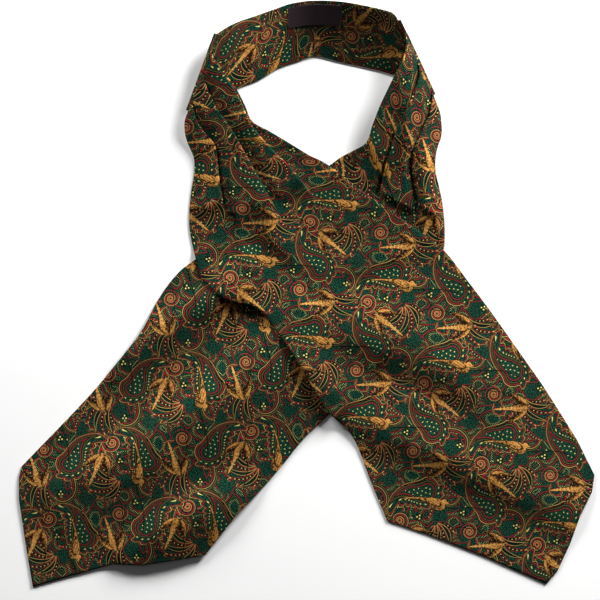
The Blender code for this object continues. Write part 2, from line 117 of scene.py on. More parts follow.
# %% The pointed ends and the back of the neckband
EndPoint = namedtuple("EndPoint", "across x y")
LEFT_END = [
    EndPoint(0.00, 58.8, -165.3),
    EndPoint(0.20, 87.2, -174.8),
    EndPoint(0.42, 128.8, -190.9),
    EndPoint(0.60, 174.8, -211.3),
    EndPoint(0.68, 183.6, -201.1),
    EndPoint(0.76, 192.4, -182.1),
    EndPoint(0.85, 199.7, -161.3),
    EndPoint(0.95, 208.4, -144.2),
    EndPoint(1.00, 210.2, -131.8),
]
RIGHT_END = [
    EndPoint(0.00, -74.1, -190.2),
    EndPoint(0.12, -96.0, -193.8),
    EndPoint(0.24, -120.1, -197.5),
    EndPoint(0.34, -141.3, -196.7),
    EndPoint(0.48, -171.9, -205.5),
    EndPoint(0.60, -199.7, -213.5),
    EndPoint(0.72, -204.8, -183.6),
    EndPoint(0.86, -209.9, -149.3),
    EndPoint(0.95, -209.9, -134.0),
    EndPoint(1.00, -207.7, -125.2),
]
BandSection = namedtuple("BandSection", "top_x top_y loop_x loop_y top_lift")
NECKBAND = [
    BandSection(-65.2, 189.6, -85.9, 134.0, 10.9),
    BandSection(-56.6, 195.4, -61.7, 144.9, 8.4),
    BandSection(-47.5, 199.4, -47.8, 151.5, 6.2),
    BandSection(-34.5, 203.9, -34.7, 156.6, 5.0),
    BandSection(-21.5, 208.5, -20.8, 165.0, 5.2),
    BandSection(-9.9, 212.1, -8.4, 169.4, 8.0),
    BandSection(5.9, 213.7, 5.9, 173.7, 15.0),
    BandSection(24.5, 212.6, 24.5, 169.7, 20.5),
    BandSection(41.2, 209.8, 41.2, 166.1, 21.8),
    BandSection(54.4, 206.9, 57.3, 162.1, 21.2),
    BandSection(62.5, 204.4, 71.9, 156.6, 19.4),
    BandSection(66.4, 199.0, 92.2, 145.4, 16.5),
]
BACK_SEAM = 6  # the neckband section at the centre-back seam
TIP_SHARE = 0.60  # how far across a blade its point lies

# %% [markdown]
# ## Soft folds
#
# Silk that has been worn never lies quite flat. Each large ripple is a ridge along a gentle curve, with
# one steep flank and one soft one, that dies out at both ends. Smaller creases are the same thing with
# less height. A bump map would light the same way, but only real height bends the print and the edge.

# %% Ridges and creases
Fold = namedtuple("Fold", "x0 y0 x1 y1 x2 y2 height left_width right_width")
LEFT_FOLDS = [
    Fold(-34.0, 74.0, -26.0, 54.0, -8.0, 26.0, 2.5, 9.0, 9.0),
    Fold(-8.0, 27.0, 28.0, 19.0, 84.0, 34.0, 1.6, 13.0, 8.0),
    Fold(-56.0, 2.0, -44.0, -5.5, -22.0, -14.0, 3.0, 12.0, 9.0),
    Fold(-10.0, -38.0, 2.0, -58.0, 14.0, -84.0, 4.0, 15.0, 10.0),
    Fold(-8.0, -10.0, 54.0, -36.0, 122.0, -66.0, 5.0, 26.0, 16.0),
    Fold(26.0, -86.0, 92.0, -114.0, 196.0, -164.0, 5.5, 24.0, 14.0),
    Fold(70.0, -14.0, 112.0, -60.0, 166.0, -124.0, 3.5, 34.0, 20.0),
]
RIGHT_FOLDS = [
    Fold(70.0, 178.0, 76.0, 114.0, 91.0, 44.0, 5.5, 18.0, 9.0),
    Fold(58.0, 116.0, 52.0, 98.0, 50.0, 84.0, 2.0, 8.0, 8.0),
    Fold(-12.0, -28.0, -88.0, -90.0, -182.0, -146.0, 10.0, 40.0, 16.0),
    Fold(-48.0, -144.0, -88.0, -162.0, -130.0, -192.0, 8.5, 26.0, 14.0),
    Fold(-42.0, 18.0, -96.0, -20.0, -136.0, -54.0, 6.0, 14.0, 12.0),
]
LEFT_CREASES = [
    Fold(-50.0, 44.0, -47.0, 30.0, -38.0, 18.0, 1.2, 5.0, 4.0),
    Fold(-27.0, 48.0, -25.0, 40.0, -19.0, 33.0, 1.6, 4.0, 4.0),
    Fold(-12.0, 10.0, -8.0, -2.0, 2.0, -12.0, 1.4, 5.0, 6.0),
    Fold(10.0, -62.0, 16.0, -68.0, 26.0, -76.0, 1.2, 5.0, 5.0),
    Fold(56.0, -66.0, 74.0, -78.0, 98.0, -86.0, 1.0, 6.0, 5.0),
]
RIGHT_CREASES = [
    Fold(79.0, 106.0, 78.5, 84.0, 82.0, 62.0, -3.5, 4.0, 4.5),
    Fold(56.0, 84.0, 53.5, 76.0, 51.0, 70.0, -2.2, 4.0, 4.0),
    Fold(-44.0, 14.0, -62.0, 4.0, -76.0, -14.0, 1.4, 6.0, 5.0),
    Fold(-104.0, -118.0, -122.0, -132.0, -146.0, -140.0, 1.0, 6.0, 7.0),
]

Edge = namedtuple("Edge", "x0 y0 x1 y1")
LOWER_OUTER_EDGE = Edge(107.0, 28.0, 21.0, -88.0)
LOWER_INNER_EDGE = Edge(16.4, 93.8, -80.7, 25.9)
CLIMB = 9.0  # how far out the upper blade comes down again
FADED_END = 0.08  # how far along the arch of its height a soft fold starts, and stops before its end
ARCH_FULLNESS = 0.6  # under 1, a fold keeps most of its height until near its ends


def soft_step(value):
    """0 below 0, 1 above 1, and a soft climb between."""
    value = np.clip(value, 0.0, 1.0)
    return value * value * (3 - 2 * value)


def fold_line(fold, steps=120):
    """Points along a fold's line, a parabola through its three points."""
    share = np.linspace(0.0, 1.0, steps + 1)[:, None]
    start, middle, end = (np.array(fold[at:at + 2]) for at in (0, 2, 4))
    knee = 2 * middle - (start + end) / 2
    return (1 - share) ** 2 * start + 2 * share * (1 - share) * knee + share**2 * end


def fold_lift(folds, x, y):
    """How far the soft folds raise the cloth at each point."""
    lift = np.zeros_like(x)
    for fold in folds:
        line = fold_line(fold)
        away = np.hypot(x[..., None] - line[:, 0], y[..., None] - line[:, 1])
        nearest = away.argmin(axis=-1)
        run = np.gradient(line, axis=0)
        step = np.linalg.norm(run, axis=1)
        run, step = (run / step[:, None])[nearest], step[nearest]
        off = np.stack([x, y], axis=-1) - line[nearest]
        aside = run[..., 0] * off[..., 1] - run[..., 1] * off[..., 0]
        width = np.where(aside > 0, fold.left_width, fold.right_width)
        place = nearest + (run * off).sum(axis=-1) / step
        on_line = np.clip(place, 0, len(line) - 1)
        beyond = (place - on_line) * step / min(fold.left_width, fold.right_width)
        share = FADED_END + (1 - 2 * FADED_END) * on_line / (len(line) - 1)
        arch = np.sin(np.pi * share) ** ARCH_FULLNESS
        lift += fold.height * arch * np.exp(-((aside / width) ** 2) - beyond**2)
    return lift


def inside(edge, x, y):
    """Signed distance of each point from an edge, positive to the right of its run."""
    run = np.array([edge.x1 - edge.x0, edge.y1 - edge.y0])
    run /= np.linalg.norm(run)
    return (x - edge.x0) * run[1] - (y - edge.y0) * run[0]


def crossing_lift(x, y):
    """How far the upper blade is raised by the lower one beneath it."""
    from_outer = soft_step(1 + inside(LOWER_OUTER_EDGE, x, y) / CLIMB)
    from_inner = soft_step(1 - inside(LOWER_INNER_EDGE, x, y) / CLIMB)
    return (CLOTH_STACK + LAYER_CLEARANCE + fold_lift(RIGHT_FOLDS, x, y)) * from_outer * from_inner


def between(table, place):
    """The columns of a table at fractional rows, on a smooth curve through the rows."""
    flat = np.array([np.hstack([np.atleast_1d(column) for column in row]) for row in table])
    place = np.atleast_1d(place)
    first = np.clip(place.astype(int), 0, len(flat) - 2)
    share = (place - first)[:, None]
    start, end = flat[first], flat[first + 1]
    leave = (end - flat[np.maximum(first - 1, 0)]) / 2
    arrive = (flat[np.minimum(first + 2, len(flat) - 1)] - start) / 2
    cube, square = share**3, share**2
    bend = (2 * cube - 3 * square + 1) * start + (3 * square - 2 * cube) * end
    return bend + (cube - 2 * square + share) * leave + (cube - square) * arrive


# %% [markdown]
# ## Pleats
#
# A knife pleat is a Z in the cloth: a turned edge, a hidden return under it, and a turn back. Where the
# stitching stops, the return grows shorter until the fold opens out flat. Following the cloth across one
# section gives its points in order, and how much cloth lies tucked away so far. The print needs that
# too, because a pleat swallows part of it and the pattern jumps at each folded edge.

# %% A section across the pleats
Pleat = namedtuple("Pleat", "depth formed opens gone tuck")
LEFT_PLEATS = [
    Pleat(5.0, 0.9, 5.5, 8.2, 26.0),
    Pleat(6.0, 0.7, 6.0, 9.3, 31.0),
    Pleat(5.0, 1.2, 6.5, 8.9, 22.0),
]
RIGHT_PLEATS = [
    Pleat(6.0, 0.9, 7.5, 10.3, 30.0),
    Pleat(6.0, 0.7, 8.5, 10.5, 34.0),
]
PLEAT_RADIUS = (CLOTH_STACK + SEAM_GAP) / 2
TURN_COLUMNS = 7  # facets in each turn of a pleat
PLEAT_ROOM = 4.0  # a strip narrower than this has only part of its pleat
DEEPEST_RETURN = 0.4  # how much of a strip its pleat's hidden return may take up
OPENING_LIFE = 0.4  # how much of a pleat's life is left once its return is gone and its turns open
OPEN_ARC = 0.2  # how much cloth an opened turn keeps of a full one
FLAT_ARC = 5.5  # how wide the cloth of a turn spreads once the pleat has died out
LAST_SPREAD = 20  # a high power, so that it spreads only at the very end
ROOM_AFTER, ROOM_BEFORE = 0.2, 0.5  # and takes no more than these shares of the cloth on either side
LEAST_TURN = 0.002  # the turn of a pleat that has died out, in half circles
LEVEL_BEFORE_TURN = 1.5  # a strip is level this far before its folded edge
SHORTEST_CLIMB = 0.5  # and climbs off the strip before it over at least this much
RISE_WITHIN = 8.0  # and at most this much
EDGE_MARGINS = (0.35, 1.1)  # extra columns this far in from each edge, for its rounding


def pleat_life(pleat, place):
    """1 where a pleat is fully formed, falling to 0 at the fold and where it dies out."""
    opening = soft_step((place - pleat.opens) / (pleat.gone - pleat.opens))
    return soft_step(place / pleat.formed) * (1 - opening)


def strip(start, end, columns, from_edge=False, to_edge=False):
    """Columns across one flat strip, with two more beside an edge of the cloth."""
    near, far = EDGE_MARGINS
    first = start + far if from_edge else start
    last = end - far if to_edge else end
    places = list(np.linspace(first, last, columns + 1))
    before = [start, start + near] if from_edge else []
    after = [end - near, end] if to_edge else []
    return np.array(before + places + after)


def across_pleats(width, edges, pleats, strip_columns, place):
    """(across, height, tucked) rows for one section, in order along the cloth."""
    points = []
    start, clear_of, tucked = 0.0, 0.0, 0.0
    steps = np.arange(TURN_COLUMNS + 1) / TURN_COLUMNS
    next_edges = [*edges[1:], 1.0]
    for number, (edge, next_edge, pleat) in enumerate(zip(edges, next_edges, pleats)):
        edge_at = edge * width
        room = edge_at - clear_of
        life = pleat_life(pleat, place) * soft_step(room / PLEAT_ROOM)
        openness = min(1.0, life / OPENING_LIFE)
        turn = math.pi * max(openness, LEAST_TURN)
        arc = math.pi * PLEAT_RADIUS * (OPEN_ARC + (1 - OPEN_ARC) * openness)
        flat = min(FLAT_ARC, ROOM_AFTER * (next_edge - edge) * width, ROOM_BEFORE * room)
        arc += max(0.0, flat - arc) * (1 - openness) ** LAST_SPREAD
        radius = arc / turn
        depth = min(pleat.depth, DEEPEST_RETURN * room) * (life - OPENING_LIFE) / (1 - OPENING_LIFE)
        depth = max(depth, arc / TURN_COLUMNS)
        rise = 2 * radius * (1 - math.cos(turn)) + depth * math.sin(turn)
        turn_at = edge_at - min(radius, arc / 2)
        climb_from = clear_of + SEAM_GAP
        level_from = min(turn_at - depth - LEVEL_BEFORE_TURN, climb_from + RISE_WITHIN)
        climb_to = max(level_from, climb_from + SHORTEST_CLIMB)
        across = strip(start, turn_at, strip_columns[number], from_edge=number == 0)[:-1]
        climbed = soft_step((across - climb_from) / (climb_to - climb_from))
        points += [(at, rise * up, tucked) for at, up in zip(across, climbed)]
        for angle in turn * steps:
            drop = radius * (1 - math.cos(angle))
            points.append((turn_at + radius * math.sin(angle), rise - drop, tucked))
        back_at = turn_at + radius * math.sin(turn) + depth * math.cos(turn)
        back_height = rise - radius * (1 - math.cos(turn)) - depth * math.sin(turn)
        tucked += pleat.tuck * max(0.0, 1 - place / pleat.gone)
        for angle in turn * (1 - steps):
            at = back_at + radius * (math.sin(turn) - math.sin(angle))
            points.append((at, back_height - radius * (math.cos(angle) - math.cos(turn)), tucked))
        start = points.pop()[0]
        clear_of = edge_at
    points += [(at, 0.0, tucked) for at in strip(start, width, strip_columns[-1], to_edge=True)]
    return np.array(points)


# %% [markdown]
# ## From points to cloth
#
# Each piece starts as a flat grid with one vertex for each point of its section rows. The grid's corners
# move to their places on the cloth, its UV map keeps where each corner was on the cut silk, and a
# Solidify modifier gives the wall. A simulation could drape it, but it would not stop at the folds that
# this cravat has.

# %% A grid that becomes cloth
EDGE_DROP, EDGE_REACH = 0.35, 0.6  # how far the pressed edge drops, and how far in that shows
SLOW_RIPPLE, QUICK_RIPPLE = 0.22, 0.07  # heights of the worn silk's waves, about 50 and 20 mm long
RIPPLE_FADE = 1.5  # they grow from none on the table to their full height this far above it


def lay_cloth(name, middle, cut, wall):
    """A wall of cloth around rows of middle points, with its flat cut as the UV map "Cut"."""
    along, across = middle.shape[0] - 1, middle.shape[1] - 1
    grid = bmesh.new()
    bmesh.ops.create_grid(grid, x_segments=along, y_segments=across, size=0.5)
    cut_map = grid.loops.layers.uv.new("Cut")
    spots = {}
    for vertex in grid.verts:
        spots[vertex] = (round((vertex.co.x + 0.5) * along), round((vertex.co.y + 0.5) * across))
        vertex.co = middle[spots[vertex]] * MM
    for face in grid.faces:
        face.smooth = True
        for corner in face.loops:
            corner[cut_map].uv = cut[spots[corner.vert]] * MM
    mesh = bpy.data.meshes.new(name)
    grid.to_mesh(mesh)
    grid.free()
    piece = bpy.data.objects.new(name, mesh)
    bpy.context.scene.collection.objects.link(piece)
    thicken = piece.modifiers.new("wall", "SOLIDIFY")
    thicken.thickness = wall * MM
    thicken.offset = 0.0
    print(f"{name}: {along} x {across} cells of about {np.ptp(middle[:, 0, 1]) / along:.1f} mm")
    return piece


def rounded_edges(share, width):
    """How far each column drops where the cloth's edge is pressed round."""
    from_edge = np.minimum(share, 1 - share) * width
    return EDGE_DROP * np.exp(-((from_edge / EDGE_REACH) ** 2))


def ripple(x, y):
    """The slight unevenness of silk twill that has been worn, in millimetres."""
    slow = np.sin(x * 0.11 + 1.3 * np.sin(y * 0.07)) * np.sin(y * 0.13 + 0.9 * np.sin(x * 0.05))
    quick = np.sin(x * 0.31 + 1.1 * np.sin(y * 0.23)) * np.sin(y * 0.29 + 1.4 * np.sin(x * 0.17))
    return SLOW_RIPPLE * slow + QUICK_RIPPLE * quick


# %% [markdown]
# ## The two halves
#
# Each half comes over the side fold, narrow and pleated, and runs on as one piece of silk into its blade.
# The rolled rows go a quarter of the way down the fold, where the neckband's own rows meet them.

# %% Rows for a half
FOLD_RADIUS = 1.7  # how loosely the neckband turns over at each side
ROLL_ROWS = 6
END_ROWS = 36
PLEAT_STEP = 0.06  # sections from one row to the next
BLADE_STEP = 0.08


def outward_of(start, end):
    """The level direction square to a line, pointing away from the middle of the neck loop."""
    run = (end - start) / np.linalg.norm(end - start)
    outward = np.array([-run[1], run[0]])
    return outward if outward[0] * start[0] > 0 else -outward


def turned_on(at, grain):
    """Places on the table turned so that the silk's length runs along +Y of its cut."""
    angle = math.radians(grain)
    x = at[..., 0] * math.cos(angle) + at[..., 1] * math.sin(angle)
    y = at[..., 1] * math.cos(angle) - at[..., 0] * math.sin(angle)
    return np.stack([x, y], axis=-1)


def half_of_cravat(name, table, pleats, columns, end, folds, crosses, opened, grain):
    """One half, from the side fold to its point, as a single wall of silk."""
    last = len(table) - 1
    places = np.hstack([np.arange(0, opened, PLEAT_STEP), np.arange(opened, last, BLADE_STEP), last])
    sections = between(table, places)
    width = np.hypot(sections[:, 2] - sections[:, 0], sections[:, 3] - sections[:, 1])
    rows = np.array([
        across_pleats(wide, section[6:], pleats, columns, place)
        for wide, section, place in zip(width, sections, places)
    ])
    share = rows[..., 0] / width[:, None]
    at = sections[:, None, 0:2] + (sections[:, 2:4] - sections[:, 0:2])[:, None] * share[..., None]
    lift = sections[:, 4:5] + (sections[:, 5:6] - sections[:, 4:5]) * share
    height, tucked = rows[..., 1], rows[..., 2]

    tip = abs(share[-1] - TIP_SHARE).argmin()
    last_share = share[-1].copy()
    last_share[tip] = TIP_SHARE
    shares = [point.across for point in end]
    end_x = np.interp(last_share, shares, [point.x for point in end])
    end_y = np.interp(last_share, shares, [point.y for point in end])
    end_at = np.stack([end_x, end_y], axis=-1)
    steps = np.linspace(0, 1, END_ROWS + 1)[1:, None, None]
    at = np.vstack([at, at[-1] + (end_at - at[-1]) * steps])
    blank = np.zeros((END_ROWS, at.shape[1]))
    lift, height, tucked = np.vstack([lift, blank]), np.vstack([height, blank]), np.vstack([tucked, blank])
    share = np.vstack([share, np.repeat(share[-1:], END_ROWS, axis=0)])
    width = np.hstack([width, np.repeat(width[-1:], END_ROWS)])

    if crosses:
        lift = np.maximum(lift, crossing_lift(at[..., 0], at[..., 1]))
    z = SILK_WALL / 2 + lift + height + fold_lift(folds, at[..., 0], at[..., 1])
    z += ripple(at[..., 0], at[..., 1]) * soft_step((z - SILK_WALL / 2) / RIPPLE_FADE)
    lowest = SILK_WALL / 2 + (crossing_lift(at[..., 0], at[..., 1]) if crosses else 0.0)
    z = np.maximum(z, lowest)
    z -= rounded_edges(share, width[:, None]) * (z > SILK_WALL)
    cut = turned_on(at, grain)
    cut[..., 0] += tucked

    outward = outward_of(sections[0, 0:2], sections[0, 2:4])
    angles = np.linspace(np.pi / 2, 0, ROLL_ROWS + 1)[:-1, None, None]
    rolled = at[:1] + outward * FOLD_RADIUS * np.sin(angles)
    rolled_z = z[:1] - FOLD_RADIUS * (1 - np.cos(angles[..., 0]))
    rolled_cut = turned_on(at[:1] + outward * FOLD_RADIUS * angles, grain)
    at, z, cut = np.vstack([rolled, at]), np.vstack([rolled_z, z]), np.vstack([rolled_cut, cut])
    return lay_cloth(name, np.dstack([at, z]), cut, SILK_WALL)


# %% Lay the lower half, then the upper one
half_right = half_of_cravat(
    "half_right", RIGHT_HALF, RIGHT_PLEATS, columns=(22, 24, 40), end=RIGHT_END,
    folds=RIGHT_FOLDS + RIGHT_CREASES, crosses=False, opened=11, grain=-40.0,
)
half_left = half_of_cravat(
    "half_left", LEFT_HALF, LEFT_PLEATS, columns=(12, 22, 18, 30), end=LEFT_END,
    folds=LEFT_FOLDS + LEFT_CREASES, crosses=True, opened=10, grain=35.0,
)

# %% [markdown]
# ## The back of the neckband
#
# Behind the neck we see the inner face: a plain band, about 43 mm deep, that leans outwards because its
# outer edge stands up off the table. It is two pieces joined at the centre back, each a short loft from
# its outer edge to its loop edge that curls up into the side fold.

# %% Two halves of the band
BAND_COLUMNS = 22
BAND_ROWS = 90
BAND_DEPTH = 48.0  # how deep the band's flat cut is
BAND_SAG = 1.0  # the band hollows a little between its edges
SAG_FROM = 8.0  # but only where its outer edge stands higher than this
SEAM_SHARE = 0.004  # how far each half stops short of the seam, in sections
SEAM_DIP, SEAM_REACH = 0.45, 0.8  # how deep and how wide the seam pulls the silk in
LOOP_EDGE_TILT = 0.1  # keeps the tilted loop edge's lower corner off the table


def band_middle(place, share, above=0.0):
    """Middle points of the neckband at these sections, this share from the outer to the loop edge."""
    section = between(NECKBAND, place)[:, None, :]
    top = np.concatenate([section[..., 0:2], section[..., 4:5]], axis=-1)
    loop = np.concatenate([section[..., 2:4], 0 * section[..., 4:5]], axis=-1)
    slope = loop - top
    level = slope[..., :2]
    normal = np.concatenate([-level * slope[..., 2:], (level**2).sum(-1, keepdims=True)], axis=-1)
    normal /= np.linalg.norm(normal, axis=-1, keepdims=True)
    share = np.asarray(share)[..., None]
    sag = BAND_SAG * np.sin(np.pi * share) * soft_step(section[..., 4:5] / SAG_FROM - 1)
    middle = top + slope * share + normal * (above - sag)
    middle[..., 2] += SILK_WALL / 2 + LOOP_EDGE_TILT * share[..., 0] * (section[..., 4] > 0)
    return middle


def half_of_band(name, end, seam, grain):
    """One half of the neckband's back, from the side fold to the centre-back seam."""
    share = strip(0.0, BAND_DEPTH, BAND_COLUMNS, from_edge=True, to_edge=True) / BAND_DEPTH
    places = np.linspace(end, seam, BAND_ROWS + 1)
    middle = band_middle(places, share[None, :])
    middle[..., 2] -= rounded_edges(share, BAND_DEPTH) * (middle[..., 2] > SILK_WALL)
    to_seam = abs(middle[..., 0] - middle[-1:, :, 0])
    middle[..., 2] -= SEAM_DIP * np.exp(-((to_seam / SEAM_REACH) ** 2))
    run = np.linalg.norm(np.diff(middle.mean(axis=1), axis=0), axis=1)
    along = np.hstack([0.0, np.cumsum(run)])
    cut = np.stack(np.broadcast_arrays(share[None, :] * BAND_DEPTH, along[:, None]), axis=-1)

    outward = outward_of(middle[0, 0, :2], middle[0, -1, :2])
    angles = np.linspace(np.pi / 2, 0, ROLL_ROWS + 1)[:-1, None, None]
    level = middle[:1, :, :2] + outward * FOLD_RADIUS * np.sin(angles)
    rolled = np.dstack([level, middle[:1, :, 2] + FOLD_RADIUS * (1 - np.cos(angles[..., 0]))])
    rolled_cut = cut[:1] - np.array([0.0, FOLD_RADIUS]) * angles
    cut = turned_on(np.vstack([rolled_cut, cut]), grain)
    return lay_cloth(name, np.vstack([rolled, middle]), cut, SILK_WALL)


band_left = half_of_band("band_left", 0, BACK_SEAM - SEAM_SHARE, grain=20.0)
band_right = half_of_band("band_right", len(NECKBAND) - 1, BACK_SEAM + SEAM_SHARE, grain=-70.0)

# %% [markdown]
# ## The label
#
# A woven satin label, with nothing on it, lies just under the outer edge at the centre back. It is sewn
# down by hand all the way round. One function gives any point on the band's inner face, so the label and
# every stitch bend along with it, and nothing has to be turned into place.

# %% The label and its stitches
LABEL_SIZE = (39.0, 15.0)
LABEL_DROP = 2.5  # from the band's outer edge down to the label
LABEL_WALL = 0.5
LABEL_CLEARANCE = 0.15
LABEL_ABOVE = SILK_WALL / 2 + LABEL_CLEARANCE + LABEL_WALL / 2
LABEL_COLUMNS, LABEL_ROWS = 40, 14
LABEL_PRESS, PRESS_REACH = 0.12, 0.7  # how far its edges are pressed down, and how far in
PUCKER, PUCKER_REACH = 0.1, 2.0  # how much the stitches gather its edges
STITCH_PITCH = 2.6
STITCH_SIZE = (1.5, 0.34, 0.3)  # how far each stitch runs, its width and its height
STITCH_INSET = 0.25  # how far in from the label's edge they are sewn
STITCH_SINK = 0.05  # how far the thread sinks into the label


def on_band(along, down, above):
    """A point on the inner face, this far right of the seam, below the outer edge and off the silk."""
    places = np.linspace(BACK_SEAM - 2, BACK_SEAM + 2, 81)
    place = np.interp(NECKBAND[BACK_SEAM].top_x + along, between(NECKBAND, places)[:, 0], places)
    section = between(NECKBAND, place)[0]
    depth = math.dist(section[0:2], section[2:4])
    return band_middle(place, [down / depth], above)[0, 0]


def lay_label():
    """The label, a little thinner along its pressed edges."""
    along = strip(-LABEL_SIZE[0] / 2, LABEL_SIZE[0] / 2, LABEL_COLUMNS, from_edge=True, to_edge=True)
    down = strip(0.0, LABEL_SIZE[1], LABEL_ROWS, from_edge=True, to_edge=True)
    from_edge = np.minimum(
        np.minimum(along - along[0], along[-1] - along)[:, None],
        np.minimum(down, LABEL_SIZE[1] - down)[None, :],
    )
    above = LABEL_ABOVE - LABEL_PRESS * np.exp(-((from_edge / PRESS_REACH) ** 2))
    above += PUCKER * np.sin(along * 0.8)[:, None] * np.exp(-((from_edge / PUCKER_REACH) ** 2))
    middle = np.array([
        [on_band(at, LABEL_DROP + below, above[column, row]) for row, below in enumerate(down)]
        for column, at in enumerate(along)
    ])
    cut = np.stack(np.broadcast_arrays(along[:, None], down[None, :]), axis=-1)
    return lay_cloth("label", middle, cut, LABEL_WALL)


def sew(name, spots):
    """Short stitches over the label's edge, each an egg of thread bent along the band."""
    thread = bmesh.new()
    for along, down, turned in spots:
        egg = bmesh.ops.create_uvsphere(thread, u_segments=8, v_segments=5, radius=0.5)
        for vertex in egg["verts"]:
            run, side, up = (co * size for co, size in zip(vertex.co, STITCH_SIZE))
            place = (along + side, down + run) if turned else (along + run, down + side)
            vertex.co = on_band(*place, LABEL_ABOVE + LABEL_WALL / 2 + up - STITCH_SINK) * MM
    bmesh.ops.recalc_face_normals(thread, faces=thread.faces)
    for face in thread.faces:
        face.smooth = True
    mesh = bpy.data.meshes.new(name)
    thread.to_mesh(mesh)
    thread.free()
    piece = bpy.data.objects.new(name, mesh)
    bpy.context.scene.collection.objects.link(piece)
    print(f"{name}: {len(spots)} stitches")
    return piece


label = lay_label()
half_long = LABEL_SIZE[0] / 2
# Each row starts and stops a little short of the label's corners.
along_edge = np.arange(-half_long + 1.4, half_long - 1.0, STITCH_PITCH)
down_end = np.arange(LABEL_DROP + 1.2, LABEL_DROP + LABEL_SIZE[1] - 0.8, STITCH_PITCH)
edge_rows = (LABEL_DROP + STITCH_INSET, LABEL_DROP + LABEL_SIZE[1] - STITCH_INSET)
stitches = [(at, row, True) for row in edge_rows for at in along_edge]
stitches += [(side * (half_long - STITCH_INSET), at, False) for side in (-1, 1) for at in down_end]
label_stitches = sew("label_stitches", stitches)

# %% [markdown]
# ## Colours and nodes
#
# A printed silk is one surface with many inks. Everything below is drawn by shader nodes from where a
# point lies on the cut silk, in millimetres, so the print turns, jumps and closes up with the folds as
# real cloth does. One function adds a node. Others turn lines of arithmetic into Math nodes, which keeps
# the drawing of each motif readable.

# %% Nodes from arithmetic


class Bench:
    """The node tree that is being built."""

    tree = None


def new_material(name):
    """An empty material, whose tree goes on the bench."""
    material = bpy.data.materials.new(name)
    material.use_nodes = True
    Bench.tree = material.node_tree
    Bench.tree.nodes.clear()
    return material


def paint(code):
    """An sRGB hex colour as the linear colour that a shader takes."""
    channels = [int(code[at:at + 2], 16) / 255 for at in (1, 3, 5)]
    linear = [c / 12.92 if c <= 0.04045 else ((c + 0.055) / 1.055) ** 2.4 for c in channels]
    return (*linear, 1.0)


def add(kind, *values, out=0, points=(), named=(), **settings):
    """One node with its settings, its inputs in order or by name, and the output asked for."""
    node = Bench.tree.nodes.new("ShaderNode" + kind)
    for name, value in settings.items():
        setattr(node, name, value)
    if points:
        curve = node.mapping.curves[0]
        curve.points[0].location, curve.points[1].location = points[0], points[-1]
        for point in points[1:-1]:
            curve.points.new(*point)
        node.mapping.update()
    sockets = [socket for socket in node.inputs if socket.enabled]
    pairs = list(zip(sockets, values)) + [(node.inputs[name], value) for name, value in dict(named).items()]
    for socket, value in pairs:
        if isinstance(value, bpy.types.NodeSocket):
            Bench.tree.links.new(value, socket)
        else:
            socket.default_value = value
    outputs = [socket for socket in node.outputs if socket.enabled]
    return outputs[out] if outputs else node


SIGNS = {ast.Add: "ADD", ast.Sub: "SUBTRACT", ast.Mult: "MULTIPLY", ast.Div: "DIVIDE"}
CALLS = {
    "abs": "ABSOLUTE", "sin": "SINE", "cos": "COSINE", "sqrt": "SQRT", "log": "LOGARITHM",
    "max": "MAXIMUM", "min": "MINIMUM", "atan2": "ARCTAN2", "wrap": "WRAP",
}
MASKS = {}  # functions of ours that a formula may call


def value_of(part, named):
    """The value of a parsed formula, with one Math node for each operation in it."""
    if isinstance(part, ast.Constant):
        return part.value
    if isinstance(part, ast.Name):
        return named[part.id]
    if isinstance(part, ast.UnaryOp):
        inner = value_of(part.operand, named)
        if isinstance(inner, (int, float)):
            return -inner
        return add("Math", inner, -1.0, operation="MULTIPLY")
    if isinstance(part, ast.BinOp):
        sides = value_of(part.left, named), value_of(part.right, named)
        return add("Math", *sides, operation=SIGNS[type(part.op)])
    given = [value_of(one, named) for one in part.args]
    if part.func.id == "clamp":
        given[0].node.use_clamp = True
        return given[0]
    if part.func.id in MASKS:
        return MASKS[part.func.id](*given)
    return add("Math", *given, operation=CALLS[part.func.id])


def formula(text, **named):
    """The value of one formula. clamp() keeps the operation inside it between 0 and 1."""
    return value_of(ast.parse(text).body[0].value, named)


def work_out(text, x, y, **given):
    """Values by name, from lines like "far = sqrt(x*x + y*y)" that use those before them."""
    named = {"x": x, "y": y, "pi": math.pi, "tau": math.tau, **given}
    for line in ast.parse(dedent(text)).body:
        named[line.targets[0].id] = value_of(line.value, named)
    return SimpleNamespace(**named)


# %% [markdown]
# ## The inks
#
# The design is my own: paisleys with a toothed side, leaf fans, scrolls, curls and sprigs on a ground of
# flowing lines, with game birds over them. Each motif is a distance to an outline, and a line is where
# that distance is small. Every gold or crimson line has a dark edge, as on a screen-printed silk. Lines
# are about 0.5 mm wide with their bleed, a little more than on real foulard, so that they show.

# %% Lines, dots and places
REPEAT = 72.0  # millimetres from one motif to its next copy, both ways
LINE = 0.15  # half the width of a printed line
RED_LINE = 0.17  # and the least for a crimson one
SOFT = 0.2  # how far an ink bleeds into the silk
EDGE = 0.5  # how wide the dark edge of a line is

Spot = namedtuple("Spot", "x y turn size flip", defaults=(1.0, 1))
inks = {}
open_ground = []


def nearest(place, spots):
    """x and y from the nearest of these spots, in that motif's own size and direction."""
    best = chosen = None
    for spot in spots:
        away = add("VectorMath", place, (spot.x, spot.y, 0.0), operation="SUBTRACT")
        near = add("VectorMath", away, (REPEAT / 2,) * 3, (-REPEAT / 2,) * 3, operation="WRAP")
        gap = add("VectorMath", near, operation="LENGTH")
        own = add("VectorRotate", near, (0, 0, 0), -math.radians(spot.turn), rotation_type="Z_AXIS")
        own = add("VectorMath", own, (1 / spot.size, spot.flip / spot.size, 1.0), operation="MULTIPLY")
        if best is None:
            best, chosen = gap, own
        else:
            nearer = add("Math", gap, best, operation="LESS_THAN")
            best = add("Math", gap, best, operation="MINIMUM")
            chosen = add("Mix", nearer, chosen, own, data_type="VECTOR")
    return add("SeparateXYZ", chosen), add("SeparateXYZ", chosen, out=1)


